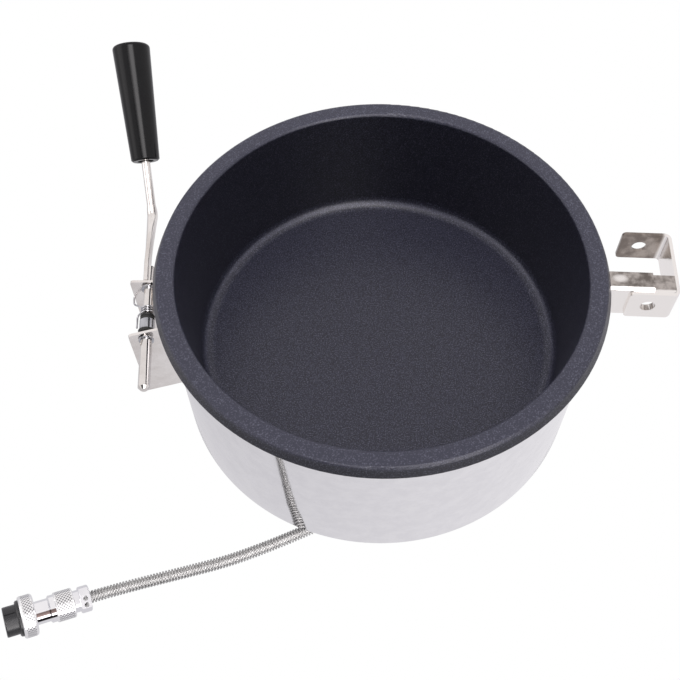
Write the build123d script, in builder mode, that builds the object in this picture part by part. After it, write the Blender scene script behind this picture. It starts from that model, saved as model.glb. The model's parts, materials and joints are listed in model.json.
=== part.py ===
from build123d import *
import os
from math import asin, atan2, cos, degrees, pi, radians, sin, sqrt, tan

# Heated kettle of a popcorn machine, in millimetres. +Z is up, +X points along the
# hanger arm, and the origin is the centre of the wiring cover's flat bottom.

# ---- driving dimensions ----------------------------------------------------------

# pot
rim_height = 115.0  # top of the lip above the surface the kettle stands on
mouth_radius = 110.0  # inside of the pot at its mouth
pot_draft = 6.0  # how much narrower the inside is at the floor
pot_depth = 72.4
pot_wall = 2.5
pot_floor = 3.0
floor_fillet = 7.0
lip_radius = 122.0  # lower edge of the lip, outside
lip_lean = 3.0  # how far the lip's side leans in towards its top
lip_depth = 6.7
lip_wall = 2.5
lip_edge_round = 1.0
rim_thickness = 3.5
mouth_round = 2.0

# shell and base
shell_radius = 117.0
shell_wall = 0.8
shell_bend = 1.8
shell_flange = 10.0  # width of the flange turned in at the bottom
base_thickness = 1.2
base_hole_radius = 45.0
cover_depth = 10.8  # standing surface up to the base plate
cover_radius = 62.0
cover_flange = 9.0
cover_bend = 2.0

# heater
tube_diameter = 8.0
heater_radius = 70.0
heater_bend = 12.0
heater_leg_gap = 22.0  # between the two legs' centre lines
heater_leg_reach = 30.0  # the legs' distance from the pot's axis
heater_leg_drop = 19.0
heater_gap = 0.1  # between the heater and the metal it touches
clamp_plate_radius = 85.0
clamp_plate_thickness = 2.0
insulation_radius = 112.0
insulation_thickness = 13.0
insulation_hole_radius = 38.0
thermostat_radius = 9.0
thermostat_flange_radius = 15.0
thermostat_flange = 1.5
thermostat_body_radius = 8.0
thermostat_body = 8.0

# fasteners
stud_diameter = 5.0
stud_circle = 50.0
stud_first_angle = 80.0
nut_flats = 8.0
nut_height = 4.0
cover_screw_diameter = 4.0
cover_screw_circle = 67.0
cover_screw_length = 5.0
cover_head_radius = 3.6
cover_head_height = 2.0
rivet_diameter = 4.0
rivet_head_radius = 3.5
rivet_head = 1.8
small_screw_diameter = 3.0
hole_clearance = 0.25  # radial, round screws and studs
close_clearance = 0.05  # radial, where a shaft turns or a rivet fills its hole

# hanger arm and yoke, on the +X side
arm_thickness = 2.0
arm_top = 107.0
arm_length = 145.8  # from the pot's axis to the end of the top plate
arm_width = 11.5
arm_edge = -5.6  # Y of the flange's outer face
arm_flange_height = 22.3
arm_bend = 2.6
foot_thickness = 2.0
foot_half_angle = 9.0
foot_height = 27.0
arm_rivet_angle = 6.5
arm_rivet_levels = (90.0, 100.0)
yoke_thickness = 1.8
yoke_bend = 2.0
yoke_end = 159.6
yoke_start = 133.4
yoke_far_face = 35.0
yoke_corner = 2.2
pivot_radius = 4.0
pivot_distance = 144.4  # from the pot's axis
pivot_height = 94.8

# handle shaft and its bracket, on the -X side
shaft_angle = 186.9  # direction from the pot's axis to the shaft
shaft_distance = 126.9
shaft_height = 94.8
shaft_diameter = 5.4
pin_diameter = 6.3
pin_start = -57.2  # stations along the shaft, away from the free end
pin_shoulder = -27.6
shaft_end = 21.0
pin_chamfer = 1.4
bracket_thickness = 1.5
far_ear_reach = 136.8
near_ear_reach = 138.2
bracket_top = 99.8
bracket_height = 57.0
far_ear_angle = 183.1
near_ear_angle = 197.9
ear_corner = 1.8
bracket_rivet_angles = (187.6, 193.1)
bracket_rivet_levels = (54.0, 80.0)
clip_radius = 4.1
clip_thickness = 0.7
clip_slot = 3.6
groove_depth = 0.6
near_clip = -27.05
far_clip = 6.3
sleeve_radius = 4.05
sleeve_start = -21.0
sleeve_end = -14.3
ring_radius = 3.9
ring_wire = 1.6
washer_radius = 4.6
washer_start = -22.7

# torsion spring
wire_diameter = 1.0
spring_pitch = 1.55
spring_turns = 2
spring_start = -9.9
spring_clearance = 0.1
spring_start_angle = 50.0  # where the coil begins, counted from outward to up
spring_leg_offset = (5.6, -1.0)  # outward and up from the shaft's axis
spring_leg_start = -18.0

# lever and grip
tang_thickness = 2.7
tang_height = 7.6
tang_start = 10.6
tang_end = 24.0
lap_gap = 0.05
lever_pin_diameter = 2.5
lever_pin_station = 15.5
bar_diameter = 5.9
rod_diameter = 4.9
bend_station = 58.9
bend_rise = 0.6
bend_radius = 7.0
handle_rise = 35.5  # degrees above the shaft's direction
handle_lean = 4.1  # degrees outward
grip_start = 31.3
grip_length = 66.0
grip_near_radius = 8.1
grip_far_radius = 10.6
grip_recess_radius = 4.6
grip_recess = 2.0
grip_edge = 0.9
grip_dome = 2.2
grip_bore_depth = 46.0

# cable, gland and connector
cable_diameter = 7.0
gland_angle = -100.0
gland_flange_radius = 4.4
gland_flange = 3.5
gland_tail_radius = 4.2
gland_length = 13.0
gland_thread_radius = 3.2
gland_thread = 8.0
gland_bore_radius = 2.2
locknut_radius = 4.0
locknut_thickness = 2.2
plug_front = (-190.9, -173.1)
plug_heading = 26.0  # direction from the connector's front to its cable
plug_tilt = 14.0
ring_outer_radius = 11.2
ring_start = 8.4
ring_end = 15.9
ring_bore_radius = 9.8
ring_lip = 1.8
ring_chamfer = 0.7
ring_rounding = 1.6
insert_radius = 8.0
insert_length = 12.8
insert_flange_radius = 9.6
insert_flange_start = 6.6
insert_flange_end = 10.4
contact_radius = 1.2
contact_circle = 3.6
contact_count = 4
contact_depth = 9.0
barrel_radius = 6.2
barrel_front_radius = 9.5
barrel_front_start = 10.6
barrel_shoulder_radius = 7.3
barrel_shoulder = 3.4
rear_sleeve_radius = 8.0
rear_sleeve_start = 26.2
rear_sleeve_length = 10.0
clamp_neck_radius = 5.9
clamp_neck = 3.0
clamp_radius = 7.2
clamp_flat = 6.2  # from the axis to the flat that the screws go in by
clamp_turn = 36.0  # of that flat, from up towards the front
clamp_length = 5.7
clamp_screw_radius = 1.25
clamp_screw_gap = 3.6

os.makedirs("parts", exist_ok=True)


def finish(part, label):
    """Label a piece and write it out."""
    part.label = label
    export_step(part, f"parts/{label}.step")


def around(radius, angle, height=0.0):
    """A point at a distance and direction from the pot's axis."""
    return Vector(radius * cos(radians(angle)), radius * sin(radians(angle)), height)


def largest_radii(points):
    """For each corner of a route, the arc that its two runs leave room for."""
    runs = [end - start for start, end in zip(points, points[1:])]
    radii = []
    for before, after in zip(runs, runs[1:]):
        half_turn = radians(before.get_angle(after)) / 2
        radii.append(0.45 * min(before.length, after.length) / tan(half_turn))
    return radii


# ---- levels ----------------------------------------------------------------------

floor_top = rim_height - pot_depth
floor_under = floor_top - pot_floor
rim_under = rim_height - rim_thickness
lip_bottom = rim_height - lip_depth
base_under = cover_depth
base_top = base_under + base_thickness
shell_bottom = base_under - shell_wall
shell_inside = shell_radius - shell_wall
heater_level = floor_under - heater_gap - tube_diameter / 2
clamp_plate_top = heater_level - tube_diameter / 2 - heater_gap
clamp_plate_under = clamp_plate_top - clamp_plate_thickness
gland_level = cover_depth / 2 - 0.5

# ---- pot and shell ---------------------------------------------------------------

lip_angle = atan2(lip_depth, lip_lean)
# the sharp corner that rounds off to the lip's full radius
lip_corner = lip_radius + lip_edge_round * (1 / tan(lip_angle / 2) - 1)
pot_outline = [
    (0, floor_under),
    (mouth_radius - pot_draft + pot_wall, floor_under),
    (mouth_radius + pot_wall, rim_under),
    (lip_radius - lip_wall - 1.6, rim_under),
    (lip_radius - lip_wall, lip_bottom),
    (lip_corner, lip_bottom),
    (lip_corner - lip_lean, rim_height),
    (mouth_radius, rim_height),
    (mouth_radius - pot_draft, floor_top),
    (0, floor_top),
]
pot_radii = [floor_fillet + pot_wall, 1.5, 0.6, 0.5, lip_edge_round, 1.8, mouth_round, floor_fillet]
with BuildPart() as cooking_pot:
    with BuildSketch(Plane.XZ):
        with BuildLine():
            outline = FilletPolyline(*pot_outline, radius=pot_radii)
            Line(outline @ 1, outline @ 0)
        make_face()
    revolve(axis=Axis.Z)
finish(cooking_pot.part, "cooking_pot")


def rivet_places(angles, levels):
    """Planes on the shell's axis, one for each rivet, facing outward."""
    return [
        Plane(origin=(0, 0, level), x_dir=(0, 0, 1), z_dir=around(1, angle))
        for angle in angles
        for level in levels
    ]


arm_rivet_planes = rivet_places((-arm_rivet_angle, arm_rivet_angle), arm_rivet_levels)
bracket_rivet_planes = rivet_places(bracket_rivet_angles, bracket_rivet_levels)
rivet_hole_radius = rivet_diameter / 2 + close_clearance

with BuildPart() as outer_shell:
    with BuildSketch(Plane.XZ):
        with BuildLine():
            FilletPolyline(
                (shell_radius - shell_flange, shell_bottom),
                (shell_radius, shell_bottom),
                (shell_radius, rim_under),
                (shell_inside, rim_under),
                (shell_inside, base_under),
                (shell_radius - shell_flange, base_under),
                radius=[0, shell_bend, 0, 0, shell_bend - shell_wall, 0],
                close=True,
            )
        make_face()
    revolve(axis=Axis.Z)
    for plane in arm_rivet_planes + bracket_rivet_planes:
        with BuildSketch(plane.offset(shell_inside - 2)):
            Circle(rivet_hole_radius)
        extrude(amount=4, mode=Mode.SUBTRACT)
finish(outer_shell.part, "outer_shell")

# ---- base ------------------------------------------------------------------------

base_radius = shell_inside - (shell_bend - shell_wall) - 0.2
stud_hole_radius = stud_diameter / 2 + hole_clearance
cover_hole_radius = cover_screw_diameter / 2 + hole_clearance
block_angle = 140.0
block_circle = 54.0
earth_angle = 290.0
earth_circle = 54.0
small_hole_radius = small_screw_diameter / 2 + close_clearance
earth_hole_radius = cover_screw_diameter / 2 + close_clearance

with BuildPart() as base_plate:
    with BuildSketch(Plane.XY.offset(base_under)):
        Circle(base_radius)
        Circle(base_hole_radius, mode=Mode.SUBTRACT)
        with PolarLocations(stud_circle, 3, start_angle=stud_first_angle):
            Circle(stud_hole_radius, mode=Mode.SUBTRACT)
        with PolarLocations(cover_screw_circle, 4, start_angle=45):
            Circle(earth_hole_radius, mode=Mode.SUBTRACT)
        with Locations(around(block_circle, block_angle)):
            Circle(small_hole_radius, mode=Mode.SUBTRACT)
        with Locations(around(earth_circle, earth_angle)):
            Circle(earth_hole_radius, mode=Mode.SUBTRACT)
    extrude(amount=base_thickness)
finish(base_plate.part, "base_plate")

gland_plane = Plane(
    origin=(0, 0, gland_level), x_dir=(0, 0, 1), z_dir=around(1, gland_angle)
)
with BuildPart() as wiring_cover:
    with BuildSketch(Plane.XZ):
        with BuildLine():
            FilletPolyline(
                (0, 0),
                (cover_radius, 0),
                (cover_radius, shell_bottom),
                (cover_radius + cover_flange, shell_bottom),
                (cover_radius + cover_flange, base_under),
                (cover_radius - shell_wall, base_under),
                (cover_radius - shell_wall, shell_wall),
                (0, shell_wall),
                radius=[0, cover_bend, 0.6, 0, 0, 1.4, cover_bend - shell_wall, 0],
                close=True,
            )
        make_face()
    revolve(axis=Axis.Z)
    with BuildSketch(Plane.XY.offset(shell_bottom - 1)):
        with PolarLocations(cover_screw_circle, 4, start_angle=45):
            Circle(cover_hole_radius)
    extrude(amount=shell_wall + 2, mode=Mode.SUBTRACT)
    with BuildSketch(gland_plane.offset(cover_radius - 4)):
        Circle(gland_thread_radius + close_clearance)
    extrude(amount=8, mode=Mode.SUBTRACT)
finish(wiring_cover.part, "wiring_cover")

with BuildPart() as cover_screws:
    with BuildSketch(Plane.XY.offset(shell_bottom - cover_head_height)):
        with PolarLocations(cover_screw_circle, 4, start_angle=45):
            Circle(cover_head_radius)
    extrude(amount=cover_head_height)
    fillet(cover_screws.faces().sort_by(Axis.Z)[:4].edges(), 0.8)
    with BuildSketch(Plane.XY.offset(shell_bottom - cover_head_height)):
        with PolarLocations(cover_screw_circle, 4, start_angle=45):
            Rectangle(4.4, 0.8)
            Rectangle(0.8, 4.4)
    extrude(amount=0.9, mode=Mode.SUBTRACT)
    with BuildSketch(Plane.XY.offset(shell_bottom)):
        with PolarLocations(cover_screw_circle, 4, start_angle=45):
            Circle(cover_screw_diameter / 2)
    extrude(amount=cover_screw_length)
finish(cover_screws.part, "cover_screws")

with BuildPart() as pot_studs:
    with BuildSketch(Plane.XY.offset(base_under - nut_height - 1.2)):
        with PolarLocations(stud_circle, 3, start_angle=stud_first_angle):
            Circle(stud_diameter / 2)
    extrude(until=Until.NEXT, target=cooking_pot.part)
finish(pot_studs.part, "pot_studs")


def stud_nuts(top, label):
    """Three nuts on the pot's studs, under a plate."""
    with BuildPart() as nuts:
        with BuildSketch(Plane.XY.offset(top)):
            with PolarLocations(stud_circle, 3, start_angle=stud_first_angle):
                RegularPolygon(nut_flats / 2, 6, major_radius=False)
                Circle(stud_diameter / 2 + close_clearance, mode=Mode.SUBTRACT)
        extrude(amount=-nut_height)
    finish(nuts.part, label)


stud_nuts(clamp_plate_under, "clamp_nuts")
stud_nuts(base_under, "base_nuts")

# ---- heater ----------------------------------------------------------------------

heater_plane = Plane(origin=(0, 0, heater_level), x_dir=around(1, gland_angle), z_dir=(0, 0, 1))
leg_side = heater_leg_gap / 2
turn_centre = sqrt((heater_radius - heater_bend) ** 2 - (leg_side + heater_bend) ** 2)
turn_angle = 90 + degrees(asin((leg_side + heater_bend) / (heater_radius - heater_bend)))
leg_bend = 9.0
leg_hole_room = 2.2  # radial, for the bend that starts in the hole
cold_pin_radius = 1.6
cold_pin_length = 7.0
inward = -around(1, gland_angle)
down = Vector(0, 0, -1)

with BuildPart() as heating_element:
    with BuildLine(heater_plane) as heater_path:
        lead_in = Line((heater_leg_reach + leg_bend, leg_side), (turn_centre, leg_side))
        turn_in = JernArc(lead_in @ 1, lead_in % 1, heater_bend, turn_angle)
        loop = JernArc(turn_in @ 1, turn_in % 1, heater_radius, 540 - 2 * turn_angle)
        turn_out = JernArc(loop @ 1, loop % 1, heater_bend, turn_angle)
        Line(turn_out @ 1, (heater_leg_reach + leg_bend, -leg_side))
    start = heater_path.line @ 0
    with BuildSketch(Plane(origin=start, z_dir=heater_path.line % 0)):
        Circle(tube_diameter / 2)
    sweep(path=heater_path.line)
    for side in (-leg_side, leg_side):
        corner = heater_plane.from_local_coords((heater_leg_reach + leg_bend, side, 0))
        knee = corner + inward * leg_bend + down * leg_bend
        foot = knee + down * (heater_leg_drop - leg_bend)
        with BuildLine() as leg_path:
            TangentArc(corner, knee, tangent=inward)
            Line(knee, foot)
        with BuildSketch(Plane(origin=corner, z_dir=inward)):
            Circle(tube_diameter / 2)
        sweep(path=leg_path.line)
        with BuildSketch(Plane(origin=foot, z_dir=down)):
            Circle(cold_pin_radius)
        extrude(amount=cold_pin_length)
finish(heating_element.part, "heating_element")

leg_holes = [
    heater_plane.from_local_coords((heater_leg_reach, side, 0)) for side in (-leg_side, leg_side)
]
thermostat_screw_circle = 12.0
with BuildPart() as element_clamp_plate:
    with BuildSketch(Plane.XY.offset(clamp_plate_under)):
        Circle(clamp_plate_radius)
        Circle(thermostat_radius + hole_clearance, mode=Mode.SUBTRACT)
        with PolarLocations(stud_circle, 3, start_angle=stud_first_angle):
            Circle(stud_hole_radius, mode=Mode.SUBTRACT)
        with PolarLocations(thermostat_screw_circle, 2):
            Circle(small_hole_radius, mode=Mode.SUBTRACT)
        with Locations(*[(hole.X, hole.Y) for hole in leg_holes]):
            Circle(tube_diameter / 2 + leg_hole_room, mode=Mode.SUBTRACT)
    extrude(amount=clamp_plate_thickness)
finish(element_clamp_plate.part, "element_clamp_plate")

with BuildPart() as insulation_disc:
    with BuildSketch(Plane.XY.offset(base_top)):
        Circle(insulation_radius)
        Circle(insulation_hole_radius, mode=Mode.SUBTRACT)
        with PolarLocations(stud_circle, 3, start_angle=stud_first_angle):
            Circle(stud_hole_radius, mode=Mode.SUBTRACT)
        with PolarLocations(cover_screw_circle, 4, start_angle=45):
            Circle(cover_screw_diameter, mode=Mode.SUBTRACT)
        with Locations(around(block_circle, block_angle), around(earth_circle, earth_angle)):
            Circle(cover_screw_diameter, mode=Mode.SUBTRACT)
    extrude(amount=insulation_thickness)
finish(insulation_disc.part, "insulation_disc")

blade_width = 6.3
blade_thickness = 0.8
blade_length = 7.0
blade_offset = 4.5
with BuildPart() as thermostat:
    with BuildSketch(Plane.XY.offset(clamp_plate_under)):
        Circle(thermostat_radius)
    extrude(amount=floor_under - clamp_plate_under)
    with BuildSketch(Plane.XY.offset(clamp_plate_under)):
        Circle(thermostat_flange_radius)
        with PolarLocations(thermostat_screw_circle, 2):
            Circle(small_hole_radius, mode=Mode.SUBTRACT)
    extrude(amount=-thermostat_flange)
    with BuildSketch(Plane.XY.offset(clamp_plate_under - thermostat_flange)):
        Circle(thermostat_body_radius)
    extrude(amount=-thermostat_body)
    with BuildSketch(Plane.XY.offset(clamp_plate_under - thermostat_flange - thermostat_body)):
        with Locations((0, -blade_offset), (0, blade_offset)):
            Rectangle(blade_width, blade_thickness)
    extrude(amount=-blade_length)
finish(thermostat.part, "thermostat")

with BuildPart() as thermostat_screws:
    with BuildSketch(Plane.XY.offset(clamp_plate_under - thermostat_flange)):
        with PolarLocations(thermostat_screw_circle, 2):
            Circle(2.6)
    extrude(amount=-1.8)
    with BuildSketch(Plane.XY.offset(clamp_plate_under - thermostat_flange)):
        with PolarLocations(thermostat_screw_circle, 2):
            Circle(small_screw_diameter / 2)
    extrude(amount=thermostat_flange + clamp_plate_thickness + 1)
finish(thermostat_screws.part, "thermostat_screws")

# ---- wiring in the cover ---------------------------------------------------------

block_length = 22.0
block_width = 10.0
block_height = 6.0
block_plane = Plane(
    origin=around(block_circle, block_angle, base_under),
    x_dir=around(1, block_angle),
    z_dir=(0, 0, 1),
)
with BuildPart() as terminal_block:
    with BuildSketch(block_plane):
        Rectangle(block_width, block_length)
        Circle(small_hole_radius + hole_clearance, mode=Mode.SUBTRACT)
    extrude(amount=-block_height)
    with BuildSketch(block_plane.offset(-block_height)):
        with GridLocations(1, block_length / 2, 1, 2):
            Circle(2.0)
    extrude(amount=2.5, mode=Mode.SUBTRACT)
finish(terminal_block.part, "terminal_block")

with BuildPart() as terminal_screw:
    with BuildSketch(block_plane.offset(-block_height)):
        Circle(2.6)
    extrude(amount=-1.6)
    with BuildSketch(block_plane.offset(-block_height)):
        Circle(small_screw_diameter / 2)
    extrude(amount=block_height + base_thickness + 1.5)
finish(terminal_screw.part, "terminal_screw")

with BuildPart() as earth_screw:
    with BuildSketch(Plane.XY.offset(base_under)):
        with Locations(around(earth_circle, earth_angle)):
            Circle(cover_head_radius)
    extrude(amount=-cover_head_height)
    with BuildSketch(Plane.XY.offset(base_under)):
        with Locations(around(earth_circle, earth_angle)):
            Circle(cover_screw_diameter / 2)
    extrude(amount=cover_screw_length)
finish(earth_screw.part, "earth_screw")

# ---- gland -----------------------------------------------------------------------

wall_inside = cover_radius - shell_wall
nut_face = sqrt(wall_inside**2 - locknut_radius**2) - 0.05
with BuildPart() as cable_gland:
    with BuildSketch(gland_plane.offset(cover_radius - 3)):
        Circle(gland_flange_radius)
    extrude(amount=3 + gland_flange)
    with BuildSketch(gland_plane.offset(cover_radius + gland_flange)):
        Circle(gland_tail_radius)
    extrude(amount=gland_length - gland_flange, taper=3)
    with BuildSketch(Plane.XY.offset(-1)):
        Circle(cover_radius)
    extrude(amount=2 * cover_depth, mode=Mode.SUBTRACT)
    with BuildSketch(gland_plane.offset(cover_radius - gland_thread)):
        Circle(gland_thread_radius)
    extrude(amount=gland_thread + 1)
    with BuildSketch(gland_plane.offset(cover_radius - gland_thread)):
        Circle(gland_bore_radius)
    extrude(amount=gland_thread + gland_length, mode=Mode.SUBTRACT)
finish(cable_gland.part, "cable_gland")

with BuildPart() as gland_locknut:
    with BuildSketch(gland_plane.offset(nut_face)):
        RegularPolygon(locknut_radius, 6, rotation=30)
        Circle(gland_thread_radius + close_clearance, mode=Mode.SUBTRACT)
    extrude(amount=-locknut_thickness)
finish(gland_locknut.part, "gland_locknut")

# ---- internal wires and thermal fuse ----------------------------------------------

wire_radius = 1.0
wire_level = 3.4
pin_level = heater_level - heater_leg_drop - cold_pin_length
blade_level = clamp_plate_under - thermostat_flange - thermostat_body - blade_length
fuse_radius = 2.0
fuse_length = 12.0


def place(x, y, z):
    """A point in the heater's own directions, x towards the gland."""
    return heater_plane.from_local_coords((x, y, z - heater_level))


pin_right = place(heater_leg_reach, -leg_side, pin_level)
blade_right = Vector(0, blade_offset, blade_level)
block_ends = [
    block_plane.from_local_coords((0, side * block_length / 4, -block_height)) for side in (-1, 1)
]
earth_tail = around(earth_circle, earth_angle, base_under - cover_head_height)
gland_mouth = cover_radius - gland_thread
wire_routes = [
    [
        place(gland_mouth, -1.1, gland_level),
        place(46, -1.3, gland_level),
        place(30, -25, wire_level),
        around(50, block_angle + 40, wire_level),
        block_ends[1] + Vector(4, -10, wire_level - block_ends[1].Z),
        block_ends[1] + Vector(0, 0, wire_level - block_ends[1].Z - 1.2),
        block_ends[1],
    ],
    [
        place(gland_mouth, 1.1, gland_level),
        place(45, 1.4, gland_level),
        earth_tail + Vector(-12, 4, wire_level - earth_tail.Z),
        earth_tail + Vector(0, 0, wire_level - earth_tail.Z - 1.2),
        earth_tail,
    ],
    [
        block_ends[0],
        block_ends[0] + Vector(0, 0, wire_level - block_ends[0].Z - 1.2),
        block_ends[0] + Vector(14, -18, wire_level - block_ends[0].Z),
        blade_right + Vector(-3, 6, wire_level + 2 - blade_right.Z),
        blade_right + down * 0.6,
    ],
]

with BuildPart() as internal_wires:
    for route in wire_routes:
        with BuildLine() as wire_path:
            FilletPolyline(*route, radius=largest_radii(route))
        with BuildSketch(Plane(origin=wire_path.line @ 0, z_dir=wire_path.line % 0)):
            Circle(wire_radius)
        sweep(path=wire_path.line)
finish(internal_wires.part, "internal_wires")

with BuildPart() as thermal_fuse:
    with BuildSketch(Plane(origin=pin_right, z_dir=down)):
        Circle(fuse_radius)
    extrude(amount=fuse_length / 2)
    with BuildSketch(Plane(origin=pin_right + down * fuse_length / 2, z_dir=down)):
        Circle(0.6)
    extrude(amount=1.5)
finish(thermal_fuse.part, "thermal_fuse")

# ---- hanger arm and yoke -----------------------------------------------------------

flange_bottom = arm_top - arm_flange_height
yoke_inside = yoke_end - yoke_thickness
yoke_top = arm_top - arm_thickness
plate_side = arm_edge + arm_width
flange_end = yoke_inside - yoke_bend - 0.8
step_overlap = 2.0


def pivot_cut(first, last):
    """Cut the pivot's hole through the part being built."""
    pivot_plane = Plane(origin=(pivot_distance, first, pivot_height), z_dir=(0, 1, 0))
    with BuildSketch(pivot_plane) as hole:
        Circle(pivot_radius)
    extrude(hole.sketch, amount=last - first, mode=Mode.SUBTRACT)


foot_side = Plane(
    origin=(0, 0, 0), x_dir=around(1, -foot_half_angle), z_dir=around(1, -90 - foot_half_angle)
)
with BuildPart() as hanger_arm:
    with BuildSketch(Plane.YZ.offset(shell_radius - 2)):
        with BuildLine():
            FilletPolyline(
                (arm_edge, flange_bottom),
                (arm_edge, arm_top),
                (plate_side, arm_top),
                (plate_side, arm_top - arm_thickness),
                (arm_edge + arm_thickness, arm_top - arm_thickness),
                (arm_edge + arm_thickness, flange_bottom),
                radius=[0, arm_bend, 0, 0, arm_bend - arm_thickness, 0],
                close=True,
            )
        make_face()
    extrude(amount=arm_length - shell_radius + 2)
    with BuildSketch(Plane.XY.offset(yoke_top)):
        with Locations(((arm_length - step_overlap + yoke_inside) / 2, arm_edge + arm_width / 2)):
            Rectangle(yoke_inside - arm_length + step_overlap, arm_width)
    extrude(amount=-arm_thickness)
    nose_corner = hanger_arm.edges().filter_by(Axis.Z).group_by(Axis.X)[-1].sort_by(Axis.Y)[0]
    fillet(nose_corner, yoke_bend + 0.4)
    with BuildSketch(Plane.XZ.offset(-arm_edge)):
        with Locations(((arm_length - 1 + flange_end) / 2, (flange_bottom + yoke_top) / 2)):
            Rectangle(flange_end - arm_length + 1, yoke_top - flange_bottom)
    extrude(amount=-arm_thickness)
    with BuildSketch(Plane.XY.offset(flange_bottom - 5)):
        Circle(shell_radius)
    extrude(amount=arm_flange_height + 10, mode=Mode.SUBTRACT)
    with BuildSketch(foot_side):
        with Locations((shell_radius + foot_thickness / 2, arm_top - foot_height / 2)):
            Rectangle(foot_thickness, foot_height)
    revolve(axis=Axis.Z, revolution_arc=2 * foot_half_angle)
    pivot_cut(arm_edge - 1, arm_edge + arm_thickness + 1)
    for plane in arm_rivet_planes:
        with BuildSketch(plane.offset(shell_radius - 1)):
            Circle(rivet_hole_radius)
        extrude(amount=foot_thickness + 2, mode=Mode.SUBTRACT)
finish(hanger_arm.part, "hanger_arm")

yoke_near_face = arm_edge - yoke_thickness
yoke_outer_bend = yoke_bend + yoke_thickness
with BuildPart() as hanger_yoke:
    with BuildSketch(Plane.XY.offset(flange_bottom)):
        with BuildLine():
            FilletPolyline(
                (yoke_start, yoke_near_face),
                (yoke_end, yoke_near_face),
                (yoke_end, yoke_far_face),
                (yoke_start, yoke_far_face),
                (yoke_start, yoke_far_face - yoke_thickness),
                (yoke_inside, yoke_far_face - yoke_thickness),
                (yoke_inside, arm_edge),
                (yoke_start, arm_edge),
                radius=[0, yoke_outer_bend, yoke_outer_bend, 0, 0, yoke_bend, yoke_bend, 0],
                close=True,
            )
        make_face()
    extrude(amount=yoke_top - flange_bottom)
    ear_corners = hanger_yoke.edges().filter_by(Axis.Y).group_by(Axis.X)[0]
    fillet(ear_corners, yoke_corner)
    pivot_cut(yoke_near_face - 1, yoke_far_face + 1)
finish(hanger_yoke.part, "hanger_yoke")


def rivets(planes, plate_thickness, label):
    """Round-headed rivets through the shell and a plate on its outside."""
    with BuildPart() as group:
        for plane in planes:
            with BuildSketch(plane.offset(shell_inside - 1.2)):
                Circle(rivet_head_radius - 0.7)
            extrude(amount=1.0)
            with BuildSketch(plane.offset(shell_inside - 0.3)):
                Circle(rivet_diameter / 2)
            extrude(amount=plate_thickness + shell_wall + 1)
            with BuildSketch(plane.offset(shell_radius + plate_thickness)):
                Circle(rivet_head_radius)
            extrude(amount=rivet_head, taper=25)
    finish(group.part, label)


rivets(arm_rivet_planes, foot_thickness, "arm_rivets")
rivets(bracket_rivet_planes, bracket_thickness, "bracket_rivets")

# ---- shaft bracket -----------------------------------------------------------------

outward = around(1, shaft_angle)
shaft_origin = around(shaft_distance, shaft_angle, shaft_height)
# x outward from the pot, y up, z along the shaft from its free end to the lever
shaft_plane = Plane(origin=shaft_origin, x_dir=outward, z_dir=around(1, shaft_angle - 90))
bracket_bottom = bracket_top - bracket_height

bracket_middle = (bracket_top + bracket_bottom) / 2


def upright(angle):
    """A plane through the pot's axis, x outward in the given direction and y up."""
    return Plane(origin=(0, 0, 0), x_dir=around(1, angle), z_dir=around(1, angle - 90))


with BuildPart() as shaft_bracket:
    with BuildSketch(upright(far_ear_angle)):
        with Locations((shell_radius + bracket_thickness / 2, bracket_middle)):
            Rectangle(bracket_thickness, bracket_height)
    revolve(axis=Axis.Z, revolution_arc=near_ear_angle - far_ear_angle)
    for ear_angle, ear_reach in ((far_ear_angle, far_ear_reach), (near_ear_angle, near_ear_reach)):
        with BuildSketch(upright(ear_angle).offset(-bracket_thickness / 2)) as ear:
            with Locations(((shell_radius + ear_reach) / 2, bracket_middle)):
                Rectangle(ear_reach - shell_radius + 0.1, bracket_height)
            fillet(ear.vertices().group_by(SortBy.DISTANCE)[-2:], ear_corner)
        extrude(amount=bracket_thickness)
    with BuildSketch(Plane.XY.offset(bracket_bottom - 1)):
        Circle(shell_radius)
    extrude(amount=bracket_height + 2, mode=Mode.SUBTRACT)
    with BuildSketch(shaft_plane.offset(pin_start)):
        Circle(shaft_diameter / 2 + close_clearance)
    extrude(amount=shaft_end - pin_start, mode=Mode.SUBTRACT)
    for plane in bracket_rivet_planes:
        with BuildSketch(plane.offset(shell_radius - 1)):
            Circle(rivet_hole_radius)
        extrude(amount=bracket_thickness + 2, mode=Mode.SUBTRACT)
finish(shaft_bracket.part, "shaft_bracket")

# ---- shaft and what rides on it ------------------------------------------------------


def shaft_ring(first, last, outer, inner):
    """A ring round the shaft, in the part being built."""
    with BuildSketch(shaft_plane.offset(first)) as ring:
        Circle(outer)
        Circle(inner, mode=Mode.SUBTRACT)
    extrude(ring.sketch, amount=last - first)


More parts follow.
